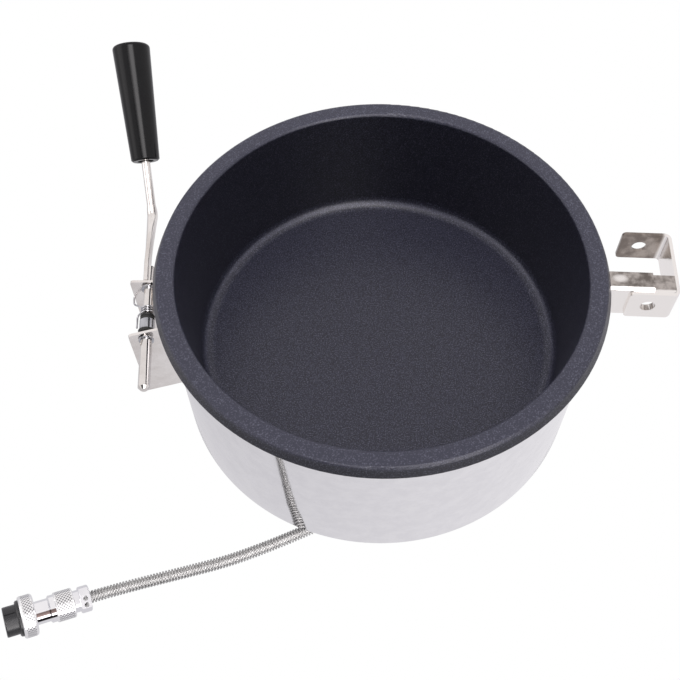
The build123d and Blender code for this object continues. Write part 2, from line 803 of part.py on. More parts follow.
with BuildPart() as handle_shaft:
    with BuildSketch(shaft_plane.offset(pin_start)):
        Circle(pin_diameter / 2)
    extrude(amount=pin_shoulder - pin_start)
    free_end = handle_shaft.faces().sort_by(Axis(shaft_origin, shaft_plane.z_dir))[0]
    chamfer(free_end.edges(), pin_chamfer)
    with BuildSketch(shaft_plane.offset(pin_shoulder)):
        Circle(shaft_diameter / 2)
    extrude(amount=shaft_end - pin_shoulder)
    with BuildSketch(shaft_plane.offset(tang_start - 0.6)):
        with Locations((shaft_diameter / 2, 0)):
            Rectangle(shaft_diameter, 2 * shaft_diameter)
    extrude(amount=shaft_end - tang_start + 2, mode=Mode.SUBTRACT)
    for station in (near_clip, far_clip):
        with BuildSketch(shaft_plane.offset(station - close_clearance)):
            Circle(shaft_diameter)
            Circle(shaft_diameter / 2 - groove_depth, mode=Mode.SUBTRACT)
        extrude(amount=clip_thickness + 2 * close_clearance, mode=Mode.SUBTRACT)
    lever_pin_plane = Plane(
        origin=shaft_plane.from_local_coords((0, 0, lever_pin_station)), z_dir=outward
    )
    with BuildSketch(lever_pin_plane.offset(-10)):
        Circle(lever_pin_diameter / 2 + close_clearance)
    extrude(amount=20, mode=Mode.SUBTRACT)
finish(handle_shaft.part, "handle_shaft")

with BuildPart() as shaft_clips:
    for station in (near_clip, far_clip):
        with BuildSketch(shaft_plane.offset(station)):
            Circle(clip_radius)
            Circle(shaft_diameter / 2 - groove_depth + close_clearance, mode=Mode.SUBTRACT)
            with Locations((0, -clip_radius)):
                Rectangle(clip_slot, 2 * clip_radius, mode=Mode.SUBTRACT)
        extrude(amount=clip_thickness)
finish(shaft_clips.part, "shaft_clips")

with BuildPart() as spring_sleeve:
    shaft_ring(sleeve_start, sleeve_end, sleeve_radius, shaft_diameter / 2 + close_clearance)
    chamfer(spring_sleeve.edges().filter_by(GeomType.CIRCLE).group_by(SortBy.RADIUS)[-1], 0.4)
finish(spring_sleeve.part, "spring_sleeve")

ring_pitch = ring_wire + 0.1
ring_inside = shaft_diameter / 2 + close_clearance
with BuildPart() as damper_rings:
    for index in range(2):
        station = sleeve_end + ring_pitch * (index + 0.5)
        ring_centre = shaft_plane.from_local_coords((0, 0, station))
        with BuildSketch(Plane(origin=ring_centre, x_dir=outward, z_dir=(0, 0, 1))):
            with Locations(((ring_radius + ring_inside) / 2, 0)):
                Ellipse((ring_radius - ring_inside) / 2, ring_wire / 2)
        revolve(axis=Axis(shaft_origin, shaft_plane.z_dir))
finish(damper_rings.part, "damper_rings")

with BuildPart() as shaft_washer:
    shaft_ring(washer_start, sleeve_start, washer_radius, shaft_diameter / 2 + close_clearance)
finish(shaft_washer.part, "shaft_washer")

# ---- torsion spring --------------------------------------------------------------------

coil_radius = shaft_diameter / 2 + spring_clearance + wire_diameter / 2


def on_shaft(x, y, station):
    """A point in the shaft's own directions."""
    return shaft_plane.from_local_coords((x, y, station))


def coil_point(angle):
    """A point on the coil's centre line, for an angle counted from its start."""
    turned = radians(spring_start_angle + angle)
    station = spring_start + spring_pitch * angle / 360
    return on_shaft(coil_radius * cos(turned), coil_radius * sin(turned), station)


def coil_direction(angle):
    """The coil's direction there."""
    turned = radians(spring_start_angle + angle)
    rise = spring_pitch / (2 * pi * coil_radius)
    ahead = on_shaft(-sin(turned), cos(turned), rise) - shaft_origin
    return ahead.normalized()


def biarc(start, start_direction, end, end_direction):
    """Two arcs that join two points and leave both in the given directions."""
    chord = end - start
    both = start_direction + end_direction
    square = both.dot(both) - 4
    cross = chord.dot(both)
    arm = (cross - sqrt(cross**2 - square * chord.dot(chord))) / square
    first_corner = start + start_direction * arm
    last_corner = end - end_direction * arm
    middle = (first_corner + last_corner) * 0.5
    TangentArc(start, middle, tangent=start_direction)
    TangentArc(middle, end, tangent=(last_corner - first_corner).normalized())


def round_corner(before, corner, after, arm):
    """An arc round a corner; returns where it starts and ends."""
    start = corner - (corner - before).normalized() * arm
    end = corner + (after - corner).normalized() * arm
    biarc(start, (corner - before).normalized(), end, (after - corner).normalized())
    return start, end


along = shaft_plane.z_dir
coil_last = 360 * spring_turns + 90  # where quarter turns stop
coil_leave = coil_last + 90
leg_x, leg_y = spring_leg_offset
leg_start = on_shaft(leg_x, leg_y, spring_leg_start)
leg_end = on_shaft(leg_x, leg_y, spring_start - 2.0)
ear_edge = far_ear_reach - shaft_distance
ear_station = far_ear_reach * tan(radians(shaft_angle - far_ear_angle))
hook_x = ear_edge + wire_diameter / 2 + spring_clearance
hook_level = -11.5
hook_corner = on_shaft(hook_x, hook_level, ear_station - 4.0)
hook_back = on_shaft(hook_x, hook_level, ear_station + bracket_thickness / 2 + 0.8)
hook_tip = on_shaft(ear_edge - 3.0, hook_level, ear_station + bracket_thickness / 2 + 0.8)
leave_point = coil_point(coil_leave)
hook_arm = 1.2

with BuildPart() as torsion_spring:
    with BuildLine() as spring_path:
        Line(leg_start, leg_end)
        biarc(leg_end, along, coil_point(0), coil_direction(0))
        for quarter in range(0, coil_last, 90):
            biarc(
                coil_point(quarter),
                coil_direction(quarter),
                coil_point(quarter + 90),
                coil_direction(quarter + 90),
            )
        biarc(
            coil_point(coil_last),
            coil_direction(coil_last),
            leave_point,
            coil_direction(coil_leave),
        )
        reach = leave_point + (hook_corner - leave_point) * 0.5
        biarc(leave_point, coil_direction(coil_leave), reach, (hook_corner - reach).normalized())
        corner_start, corner_end = round_corner(reach, hook_corner, hook_back, 2 * hook_arm)
        Line(reach, corner_start)
        back_start, back_end = round_corner(hook_corner, hook_back, hook_tip, hook_arm)
        Line(corner_end, back_start)
        Line(back_end, hook_tip)
    with BuildSketch(Plane(origin=leg_start, z_dir=along)):
        Circle(wire_diameter / 2)
    sweep(path=spring_path.line)
finish(torsion_spring.part, "torsion_spring")

# ---- lever and grip ----------------------------------------------------------------------

bend_point = on_shaft(0, bend_rise, bend_station)
tang_face = on_shaft(lap_gap + tang_thickness / 2, 0, tang_end)
bar_direction = (bend_point - tang_face).normalized()
rise = radians(handle_rise)
lean = radians(handle_lean)
grip_direction = (
    on_shaft(cos(rise) * sin(lean), sin(rise), cos(rise) * cos(lean)) - shaft_origin
).normalized()
grip_face = bend_point + grip_direction * grip_start
half_bend = radians(bar_direction.get_angle(grip_direction)) / 2
bend_arm = bend_radius * tan(half_bend)
bend_in = bend_point - bar_direction * bend_arm
bend_out = bend_point + grip_direction * bend_arm
rod_end = grip_face + grip_direction * (grip_bore_depth - 1)
shoulder_length = 4.0
rod_start = bend_out + grip_direction * shoulder_length

with BuildPart() as handle_lever:
    with BuildSketch(shaft_plane.offset(tang_start)):
        with Locations((lap_gap + tang_thickness / 2, 0)):
            RectangleRounded(tang_thickness, tang_height, 0.8)
    extrude(amount=tang_end - tang_start)
    with BuildSketch(shaft_plane.offset(tang_end)):
        with Locations((lap_gap + tang_thickness / 2, 0)):
            RectangleRounded(tang_thickness, tang_height, 0.8)
    with BuildSketch(Plane(origin=bend_in, x_dir=outward, z_dir=bar_direction)):
        Circle(bar_diameter / 2)
    loft(ruled=False)
    with BuildLine() as bend_path:
        TangentArc(bend_in, bend_out, tangent=bar_direction)
    with BuildSketch(Plane(origin=bend_in, z_dir=bar_direction)):
        Circle(bar_diameter / 2)
    sweep(path=bend_path.line)
    with BuildSketch(Plane(origin=bend_out, z_dir=grip_direction)):
        Circle(bar_diameter / 2)
    with BuildSketch(Plane(origin=rod_start, z_dir=grip_direction)):
        Circle(rod_diameter / 2)
    loft()
    with BuildSketch(Plane(origin=rod_start, z_dir=grip_direction)):
        Circle(rod_diameter / 2)
    extrude(amount=(rod_end - bend_out).length - shoulder_length)
    with BuildSketch(lever_pin_plane.offset(-10)):
        Circle(lever_pin_diameter / 2 + close_clearance)
    extrude(amount=20, mode=Mode.SUBTRACT)
finish(handle_lever.part, "handle_lever")

with BuildPart() as lever_pin:
    with BuildSketch(lever_pin_plane.offset(-shaft_diameter / 2)):
        Circle(lever_pin_diameter / 2)
    extrude(amount=shaft_diameter / 2 + tang_thickness + lap_gap)
finish(lever_pin.part, "lever_pin")

grip_end = grip_length - grip_dome
bore = rod_diameter / 2 + close_clearance
near_rim = grip_face + grip_direction * grip_edge
far_rim = grip_face + grip_direction * grip_end
grip_axis = Axis(grip_face, grip_direction)
with BuildPart() as handle_grip:
    with BuildSketch(Plane(origin=grip_face, z_dir=grip_direction)):
        Circle(grip_near_radius - grip_edge)
    with BuildSketch(Plane(origin=near_rim, z_dir=grip_direction)):
        Circle(grip_near_radius)
    loft()
    with BuildSketch(Plane(origin=near_rim, z_dir=grip_direction)):
        Circle(grip_near_radius)
    with BuildSketch(Plane(origin=far_rim, z_dir=grip_direction)):
        Circle(grip_far_radius)
    loft()
    with BuildSketch(Plane(origin=far_rim, z_dir=grip_direction)):
        Circle(grip_far_radius)
    extrude(amount=grip_dome)
    far_edge = handle_grip.edges().filter_by(GeomType.CIRCLE).sort_by(grip_axis)[-1]
    fillet(far_edge, grip_dome * 0.9)
    with BuildSketch(Plane(origin=grip_face, z_dir=grip_direction)):
        Circle(grip_recess_radius)
    extrude(amount=grip_recess, mode=Mode.SUBTRACT)
    with BuildSketch(Plane(origin=grip_face, z_dir=grip_direction)):
        Circle(bore)
    extrude(amount=grip_bore_depth, mode=Mode.SUBTRACT)
finish(handle_grip.part, "handle_grip")

# ---- connector -----------------------------------------------------------------------------

tilt = radians(plug_tilt)
heading = radians(plug_heading)
plug_axis = Vector(cos(tilt) * cos(heading), cos(tilt) * sin(heading), -sin(tilt))
sleeve_back = rear_sleeve_start + rear_sleeve_length
clamp_start = sleeve_back + clamp_neck
clamp_end = clamp_start + clamp_length
# the clamp's lower rear edge just clears the surface that the kettle stands on
plug_height = clamp_end * sin(tilt) + clamp_radius * cos(tilt) + 0.1
plug_origin = Vector(plug_front[0], plug_front[1], plug_height)
plug_side = Vector(-sin(heading), cos(heading), 0)
plug_plane = Plane(origin=plug_origin, x_dir=plug_side, z_dir=plug_axis)
plug_line = Axis(plug_origin, plug_axis)


def plug_disc(first, last, radius, mode=Mode.ADD):
    """A disc of the connector, in the part being built."""
    with BuildSketch(plug_plane.offset(first)) as disc:
        Circle(radius)
    extrude(disc.sketch, amount=last - first, mode=mode)


lip_start = ring_end - ring_lip
with BuildPart() as plug_insert:
    plug_disc(insert_flange_start, insert_flange_end, insert_flange_radius)
    flange_edge = plug_insert.edges().filter_by(GeomType.CIRCLE).sort_by(plug_line)[0]
    chamfer(flange_edge, ring_chamfer)
    plug_disc(0, insert_length, insert_radius)
    front_edge = plug_insert.edges().filter_by(GeomType.CIRCLE).sort_by(plug_line)[0]
    fillet(front_edge, 0.6)
    with BuildSketch(plug_plane):
        with PolarLocations(contact_circle, contact_count):
            Circle(contact_radius)
    extrude(amount=contact_depth + 1.5, mode=Mode.SUBTRACT)
    with BuildSketch(plug_plane):
        with Locations((0, insert_radius)):
            Rectangle(2.0, 1.6)
    extrude(amount=insert_flange_start - 0.5, mode=Mode.SUBTRACT)
finish(plug_insert.part, "plug_insert")

with BuildPart() as contact_sockets:
    with BuildSketch(plug_plane.offset(1.5)):
        with PolarLocations(contact_circle, contact_count):
            Circle(contact_radius - close_clearance)
    extrude(amount=contact_depth)
    with BuildSketch(plug_plane.offset(1.5)):
        with PolarLocations(contact_circle, contact_count):
            Circle(contact_radius / 2)
    extrude(amount=contact_depth - 2, mode=Mode.SUBTRACT)
finish(contact_sockets.part, "contact_sockets")

with BuildPart() as coupling_ring:
    plug_disc(ring_start, ring_end, ring_outer_radius)
    ring_front, ring_back = coupling_ring.edges().filter_by(GeomType.CIRCLE).sort_by(plug_line)
    chamfer(ring_front, ring_chamfer)
    fillet(ring_back, ring_rounding)
    plug_disc(ring_start - 1, lip_start, ring_bore_radius, Mode.SUBTRACT)
    plug_disc(lip_start - 1, ring_end + 1, barrel_radius + 0.1, Mode.SUBTRACT)
finish(coupling_ring.part, "coupling_ring")

barrel_end = rear_sleeve_start + 4
barrel_cone = rear_sleeve_start - barrel_shoulder
barrel_cone_end = barrel_cone + 0.8
with BuildPart() as plug_barrel:
    plug_disc(barrel_front_start, lip_start - 0.3, barrel_front_radius)
    plug_disc(lip_start - 0.3, barrel_end, barrel_radius)
    with BuildSketch(plug_plane.offset(barrel_cone)):
        Circle(barrel_radius)
    with BuildSketch(plug_plane.offset(barrel_cone_end)):
        Circle(barrel_shoulder_radius)
    loft()
    plug_disc(barrel_cone_end, rear_sleeve_start, barrel_shoulder_radius)
    plug_disc(barrel_front_start - 1, insert_length, insert_radius + close_clearance, Mode.SUBTRACT)
    plug_disc(insert_length - 1, barrel_end + 1, 4.2, Mode.SUBTRACT)
finish(plug_barrel.part, "plug_barrel")

with BuildPart() as rear_sleeve:
    plug_disc(rear_sleeve_start, sleeve_back, rear_sleeve_radius)
    sleeve_edges = rear_sleeve.edges().filter_by(GeomType.CIRCLE)
    chamfer(sleeve_edges, 0.5)
    plug_disc(rear_sleeve_start - 1, barrel_end + 0.5, barrel_radius + close_clearance, Mode.SUBTRACT)
    plug_disc(barrel_end, sleeve_back + 1, clamp_neck_radius + close_clearance, Mode.SUBTRACT)
finish(rear_sleeve.part, "rear_sleeve")

clamp_facing = plug_plane.y_dir * cos(radians(clamp_turn)) - plug_side * sin(radians(clamp_turn))
clamp_screw_plane = Plane(
    origin=plug_plane.from_local_coords((0, 0, clamp_start + clamp_length / 2)),
    x_dir=plug_axis,
    z_dir=clamp_facing,
)
clamp_flat_room = 3.0
screw_depth = 1.4
screw_head = 0.7
slot_depth = 0.6
slot_width = 0.4
with BuildPart() as cable_clamp:
    plug_disc(sleeve_back - 3, clamp_start + 0.5, clamp_neck_radius)
    plug_disc(clamp_start, clamp_end, clamp_radius)
    clamp_rims = cable_clamp.edges().filter_by(GeomType.CIRCLE).group_by(SortBy.RADIUS)[-1]
    fillet(clamp_rims, 0.8)
    with BuildSketch(clamp_screw_plane.offset(clamp_flat)):
        Rectangle(clamp_length, 2 * clamp_radius)
    extrude(amount=clamp_flat_room, mode=Mode.SUBTRACT)
    plug_disc(sleeve_back - 4, clamp_end - 1.5, gland_bore_radius, Mode.SUBTRACT)
    with BuildSketch(clamp_screw_plane.offset(clamp_flat - screw_depth)):
        with GridLocations(1, clamp_screw_gap, 1, 2):
            Circle(clamp_screw_radius + close_clearance)
    extrude(amount=clamp_flat_room, mode=Mode.SUBTRACT)
finish(cable_clamp.part, "cable_clamp")

with BuildPart() as clamp_screws:
    with BuildSketch(clamp_screw_plane.offset(clamp_flat - screw_depth)):
        with GridLocations(1, clamp_screw_gap, 1, 2):
            Circle(clamp_screw_radius)
    extrude(amount=screw_depth + screw_head)
    with BuildSketch(clamp_screw_plane.offset(clamp_flat + screw_head)):
        with GridLocations(1, clamp_screw_gap, 1, 2):
            Rectangle(slot_width, 4 * clamp_screw_radius)
    extrude(amount=-slot_depth, mode=Mode.SUBTRACT)
finish(clamp_screws.part, "clamp_screws")

# ---- cable -----------------------------------------------------------------------------------

cable_exit = around(cover_radius + gland_length, gland_angle, gland_level)
cable_lift = cable_diameter / 2
plug_rear = plug_plane.from_local_coords((0, 0, clamp_end))
cable_route = [
    cable_exit,
    around(cover_radius + gland_length + 12.5, gland_angle, gland_level),
    Vector(-20.7, -96.5, 4.3),
    Vector(-29.7, -104.8, cable_lift + 0.05),
    Vector(-40.7, -110.5, cable_lift),
    Vector(-53.1, -116.8, cable_lift),
    Vector(-77.8, -128.2, cable_lift),
    Vector(-102.9, -136.3, cable_lift),
    plug_rear + plug_axis * ((plug_rear.Z - cable_lift) / sin(tilt)),
    plug_rear,
]
cable_radii = largest_radii(cable_route)
with BuildPart() as braided_cable:
    with BuildLine() as cable_path:
        FilletPolyline(*cable_route, radius=cable_radii)
    with BuildSketch(Plane(origin=cable_exit, z_dir=cable_path.line % 0)):
        Circle(cable_diameter / 2)
    sweep(path=cable_path.line)
finish(braided_cable.part, "braided_cable")

cable_section = pi * cable_diameter**2 / 4
cable_length = cable_path.wire().length
print("cable radii", [round(r, 1) for r in cable_radii])
print("cable length", round(cable_length, 1))
print("cable volume / section x length", braided_cable.part.volume / (cable_section * cable_length))

spring_section = pi * wire_diameter**2 / 4
spring_wire = spring_path.wire()
spring_points = [spring_wire @ (i / 400) for i in range(401)]
spring_step = spring_wire.length / 400
apart = int(3 * wire_diameter / spring_step) + 1
spring_gap = min(
    (a - b).length
    for i, a in enumerate(spring_points)
    for b in spring_points[i + apart :]
)
print("spring least gap to itself", round(spring_gap - wire_diameter, 2))
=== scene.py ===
import json
import math

import bmesh
import bpy
from mathutils import Matrix, Vector


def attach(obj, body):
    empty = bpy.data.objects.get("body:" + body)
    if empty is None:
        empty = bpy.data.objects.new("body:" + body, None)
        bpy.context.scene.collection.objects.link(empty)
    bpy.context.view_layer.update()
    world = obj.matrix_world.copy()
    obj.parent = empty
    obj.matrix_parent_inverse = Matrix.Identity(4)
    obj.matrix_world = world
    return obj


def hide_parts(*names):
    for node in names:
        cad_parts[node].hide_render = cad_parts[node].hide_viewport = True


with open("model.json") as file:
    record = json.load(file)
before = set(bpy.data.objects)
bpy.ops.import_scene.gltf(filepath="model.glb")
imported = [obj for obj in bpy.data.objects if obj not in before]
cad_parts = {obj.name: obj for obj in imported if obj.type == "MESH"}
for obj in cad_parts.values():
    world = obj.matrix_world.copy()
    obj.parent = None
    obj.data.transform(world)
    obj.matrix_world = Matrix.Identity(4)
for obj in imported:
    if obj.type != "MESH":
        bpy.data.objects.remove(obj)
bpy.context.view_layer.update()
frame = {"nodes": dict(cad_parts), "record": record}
nodes = frame["nodes"]


# ---- shader maths ----------------------------------------------------------------

class Shade:
    """A shader socket. Arithmetic on it adds Math nodes, and node() adds any other node."""

    def __init__(self, tree, socket=None):
        self.tree = tree
        self.socket = socket

    def node(self, kind, settings=None, inputs=None, output=0):
        made = self.tree.nodes.new(kind)
        for name, value in (settings or {}).items():
            setattr(made, name, value)
        for name, value in (inputs or {}).items():
            if isinstance(value, Shade):
                self.tree.links.new(value.socket, made.inputs[name])
            else:
                made.inputs[name].default_value = value
        return Shade(self.tree, made.outputs[output] if made.outputs else None)

    def math(self, operation, *values):
        return self.node("ShaderNodeMath", {"operation": operation}, dict(enumerate(values)))

    def __add__(self, other):
        return self.math("ADD", self, other)

    def __radd__(self, other):
        return self.math("ADD", other, self)

    def __sub__(self, other):
        return self.math("SUBTRACT", self, other)

    def __rsub__(self, other):
        return self.math("SUBTRACT", other, self)

    def __mul__(self, other):
        return self.math("MULTIPLY", self, other)

    def __rmul__(self, other):
        return self.math("MULTIPLY", other, self)

    def clamped(self, low, high):
        """How far this value is between two others, from 0 to 1."""
        return self.node(
            "ShaderNodeMapRange",
            {"interpolation_type": "SMOOTHSTEP"},
            {"Value": self, "From Min": low, "From Max": high},
        )

    def band(self, start, full, fading, end):
        """1 from full to fading, and 0 before start and past end."""
        return self.clamped(start, full) * (1 - self.clamped(fading, end))

    def between(self, first, last):
        """A colour that goes from the first to the last as this value goes from 0 to 1."""
        return self.node(
            "ShaderNodeMix", {"data_type": "RGBA"}, {0: self, 6: first, 7: last}, output=2
        )

    def place(self):
        return self.node("ShaderNodeTexCoord", output=3)

    def stretched(self, across):
        """The piece's own coordinates, multiplied by a size for each axis."""
        return self.node(
            "ShaderNodeVectorMath", {"operation": "MULTIPLY"}, {0: self.place(), 1: across}
        )

    def noise(self, scale, detail=3.0, roughness=0.5, place=None):
        return self.node(
            "ShaderNodeTexNoise",
            {"noise_dimensions": "3D"},
            {
                "Vector": place or self.place(),
                "Scale": scale,
                "Detail": detail,
                "Roughness": roughness,
            },
        )

    def along(self, origin, direction):
        """How far a point is from an origin along a direction, in metres."""
        apart = self.node(
            "ShaderNodeVectorMath", {"operation": "SUBTRACT"}, {0: self.place(), 1: origin}
        )
        return self.node(
            "ShaderNodeVectorMath", {"operation": "DOT_PRODUCT"}, {0: apart, 1: direction}, output=1
        )

    def from_origin(self, direction):
        return self.along((0, 0, 0), direction)

    def bump(self, height, distance, strength=1.0):
        return self.node(
            "ShaderNodeBump", None, {"Strength": strength, "Distance": distance, "Height": height}
        )


def colour(red, green, blue):
    return (red, green, blue, 1.0)


ALONG_ARM = (1, 0, 0)
REARWARD = (0, 1, 0)
UPWARD = (0, 0, 1)

# nickel of the brackets
warm_light = colour(0.93, 0.9, 0.87)
warm_dark = colour(0.72, 0.675, 0.64)


def material(name, build):
    """A material whose surface comes from what build returns for the Principled node."""
    made = bpy.data.materials.new(name)
    made.use_nodes = True
    tree = made.node_tree
    tree.nodes.clear()
    surface = Shade(tree).node("ShaderNodeBsdfPrincipled", None, build(Shade(tree)))
    surface.node("ShaderNodeOutputMaterial", None, {"Surface": surface})
    return made


def metal(light, dark, roughness, blotch=60.0, wave=0.00004, spread=0.06):
    """Polished or plated metal with faint blotches, hairline marks and a slightly uneven face."""

    def build(shade):
        blotches = shade.noise(blotch, 4.0, 0.6)
        marks = shade.noise(1400.0, 2.0, 0.7, shade.stretched((1.0, 0.14, 1.0)))
        return {
            "Base Color": blotches.clamped(0.3, 0.7).between(dark, light),
            "Metallic": 1.0,
            "Roughness": roughness + spread * marks + spread * blotches,
            "Normal": shade.bump(shade.noise(blotch * 1.7, 2.0) + 0.03 * marks, wave),
        }

    return build


def moulded(base, lighter, roughness, grain, depth, shine=0.5):
    """Moulded or pressed stuff with a fine grain."""

    def build(shade):
        fine = shade.noise(grain, 4.0, 0.6)
        cloud = shade.noise(90.0, 3.0)
        return {
            "Base Color": (fine * 0.6 + cloud * 0.4).clamped(0.35, 0.65).between(base, lighter),
            "Roughness": roughness + 0.08 * cloud,
            "Specular IOR Level": shine,
            "Normal": shade.bump(fine, depth),
        }

    return build


# heights of the rim's top and of the ring in the floor's fillet, and where that ring fades
rim_start = 0.1125
rim_full = 0.1142
fillet_levels = (0.0432, 0.0442, 0.0448, 0.046)
fillet_reach = 0.09


def nonstick(shade):
    """Dark coating with a fine light speckle.

    The paler rim and the pale ring in the fillet, stronger to the rear, are painted. They
    stand in for light on the coating in the photograph.
    """
    grain = shade.noise(1000.0, 3.0, 0.7)
    flecks = shade.noise(1500.0, 1.0).clamped(0.5, 0.72)
    cloud = shade.noise(38.0, 3.0)
    level = shade.from_origin(UPWARD)
    rim = level.clamped(rim_start, rim_full)
    tone = (grain.clamped(0.3, 0.7) + 0.7 * rim).between(
        colour(0.005, 0.005, 0.01), colour(0.022, 0.022, 0.038)
    )
    rearward = shade.from_origin(REARWARD).clamped(-fillet_reach, fillet_reach)
    fillet = level.band(*fillet_levels) * rearward
    return {
        "Base Color": (flecks * 0.7 + 0.12 * rim + 0.75 * fillet * grain).between(
            tone, colour(0.11, 0.11, 0.15)
        ),
        "Roughness": 0.26 + 0.16 * grain + 0.06 * cloud,
        "Specular IOR Level": 0.5,
        "Normal": shade.bump(grain, 0.00016, 0.6),
    }


def mirror(shade):
    """Mirror-polished steel, a little mottled and wavy, with faint turning marks."""
    mottle = shade.noise(120.0, 5.0, 0.62)
    cloud = shade.noise(16.0, 3.0)
    turning = shade.noise(900.0, 2.0, 0.6, shade.stretched((0.03, 0.03, 1.0)))
    return {
        "Base Color": mottle.clamped(0.3, 0.7).between(
            colour(0.8, 0.795, 0.815), colour(0.86, 0.855, 0.87)
        ),
        "Metallic": 1.0,
        "Roughness": 0.04 + 0.06 * mottle,
        "Normal": shade.bump(cloud + 0.02 * mottle + 0.01 * turning, 0.0004, 0.3),
    }


knurl_width = 0.0018
knurl_edge = 0.0004


def knurled(origin, axis, side, up, radius, first, last):
    """Chrome with a diamond knurl between two stations of an axis, plain beyond them, with painted
    shade in the knurl's grooves.
    """

    def build(shade):
        station = shade.along(origin, axis)
        angle = shade.math("ARCTAN2", shade.along(origin, up), shade.along(origin, side))
        around = angle * (math.pi * radius / knurl_width)
        step = station * (math.pi / knurl_width)
        crossing = shade.math("ABSOLUTE", shade.math("SINE", around + step)) * shade.math(
            "ABSOLUTE", shade.math("SINE", around - step)
        )
        inside = station.band(first, first + knurl_edge, last - knurl_edge, last)
        height = 1 - inside * (1 - crossing)
        grime = shade.noise(500.0)
        return {
            # the grooves are painted dark: painted shade in the knurl's recesses
            "Base Color": height.clamped(0.0, 0.42).between(
                colour(0.06, 0.06, 0.07), colour(1.0, 1.0, 1.0)
            ),
            "Metallic": 1.0,
            "Roughness": 0.13 + 0.1 * grime,
            "Normal": shade.bump(height, 0.0001, 0.4),
        }

    return build


spot_place = (0.128, 0.0015, 0)
spot_size = 0.00001  # square metres
plate_edge = (-0.0042, -0.003)


def hanger_plate(shade):
    """Nickel, painted brown on the arm's top plate, with one blurred bright spot.

    Both stand in for what the plate seems to reflect in the photograph.
    """
    blotches = shade.noise(160.0, 3.0, 0.6)
    lengthwise = shade.along(spot_place, ALONG_ARM)
    sidewise = shade.along(spot_place, REARWARD)
    spot = 1 - (lengthwise * lengthwise * 0.4 + sidewise * sidewise).clamped(0.0, spot_size)
    plate = shade.from_origin(REARWARD).clamped(*plate_edge) * (1 - 0.9 * spot)
    tone = blotches.clamped(0.35, 0.65).between(
        colour(0.17, 0.15, 0.135), colour(0.5, 0.46, 0.43)
    )
    return {
        "Base Color": plate.between(warm_light, tone),
        "Metallic": 1.0,
        "Roughness": 0.14 + 0.1 * blotches,
        "Normal": shade.bump(blotches, 0.00006),
    }


strip_end = (0.1545, 0.157)
strip_top = (0.1064, 0.1068)
far_ear_edge = (0.024, 0.03)
web_edges = (-0.0038, -0.003, 0.012, 0.016)
seam_shadow_edges = (0.1452, 0.1458, 0.1468, 0.1474)


def hanger_strip(shade):
    """Nickel, painted brown on the far ear and the web, with a painted shadow along the seam at the
    arm's end.

    The brown stands in for what the strip seems to reflect in the photograph.
    """
    blotches = shade.noise(110.0, 3.0, 0.6)
    across = shade.from_origin(REARWARD)
    length = shade.from_origin(ALONG_ARM)
    below_top = 1 - shade.from_origin(UPWARD).clamped(*strip_top)
    inner = (1 - length.clamped(*strip_end)) * below_top
    far_ear = across.clamped(*far_ear_edge) * inner
    web = across.band(*web_edges) * inner
    # painted shadow: a dark line on the web where the arm's plate ends
    seam_shadow = length.band(*seam_shadow_edges) * web
    tone = blotches.clamped(0.35, 0.65).between(
        colour(0.2, 0.17, 0.15), colour(0.42, 0.37, 0.33)
    )
    brown = shade.math("MAXIMUM", far_ear, web).between(warm_light, tone)
    return {
        "Base Color": seam_shadow.between(brown, colour(0.03, 0.025, 0.02)),
        "Metallic": 1.0,
        "Roughness": 0.13 + 0.1 * blotches,
        "Normal": shade.bump(blotches, 0.00005),
    }


stripe_edge = 0.0003
stripe_depth = 0.001


def striped(origin, across, toward, brown_low, brown_high, black_low, black_high):
    """Chrome with a brown and a black band painted on the side towards the scene's camera.

    They stand in for what look like reflections in the photograph, and don't move with the
    view as reflections do.
    """

    def build(shade):
        offset = shade.along(origin, across)
        facing = shade.along(origin, toward).clamped(0.0, stripe_depth)
        brown = facing * offset.band(
            brown_low, brown_low + stripe_edge, brown_high - stripe_edge, brown_high
        )
        black = facing * offset.band(
            black_low, black_low + stripe_edge, black_high - stripe_edge, black_high
        )
        mottle = shade.noise(300.0)
        plain = mottle.between(colour(0.98, 0.98, 0.99), colour(0.93, 0.93, 0.95))
        return {
            "Base Color": black.between(
                brown.between(plain, colour(0.2, 0.15, 0.14)), colour(0.012, 0.01, 0.012)
            ),
            "Metallic": 1.0,
            "Roughness": 0.05 + 0.03 * mottle,
        }

    return build


def cable_metal(shade):
    """Satin metal wire with fine strands."""
    strands = shade.noise(2600.0, 2.0, 0.7)
    lay = shade.noise(300.0, 3.0)
    return {
        "Base Color": (strands * 0.7 + lay * 0.3).clamped(0.36, 0.62).between(
            colour(0.42, 0.415, 0.41), colour(0.6, 0.6, 0.59)
        ),
        "Metallic": 1.0,
        "Roughness": 0.44 + 0.1 * strands,
        "Normal": shade.bump(strands, 0.00003, 0.4),
    }


def dark_core(shade):
    """Near-black core seen between the turns."""
    strands = shade.noise(1800.0, 2.0)
    return {
        "Base Color": strands.between(colour(0.002, 0.002, 0.002), colour(0.012, 0.012, 0.012)),
        "Specular IOR Level": 0.1,
        "Roughness": 0.6 + 0.1 * strands,
    }


# ---- materials of the slots --------------------------------------------------------

plug_tilt = math.radians(14.0)
plug_heading = math.radians(26.0)
plug_axis = Vector((
    math.cos(plug_tilt) * math.cos(plug_heading),
    math.cos(plug_tilt) * math.sin(plug_heading),
    -math.sin(plug_tilt),
))
plug_side = Vector((-math.sin(plug_heading), math.cos(plug_heading), 0.0))
plug_up = plug_axis.cross(plug_side)
plug_length = 0.0449
clamp_radius = 0.0072
clamp_gap = 0.0001  # between the clamp and the surface under it
plug_height = (
    plug_length * math.sin(plug_tilt) + clamp_radius * math.cos(plug_tilt) + clamp_gap
)
ring_radius = 0.0112
ring_knurl = (0.0096, 0.0148)
sleeve_radius = 0.008
sleeve_knurl = (0.0268, 0.0356)
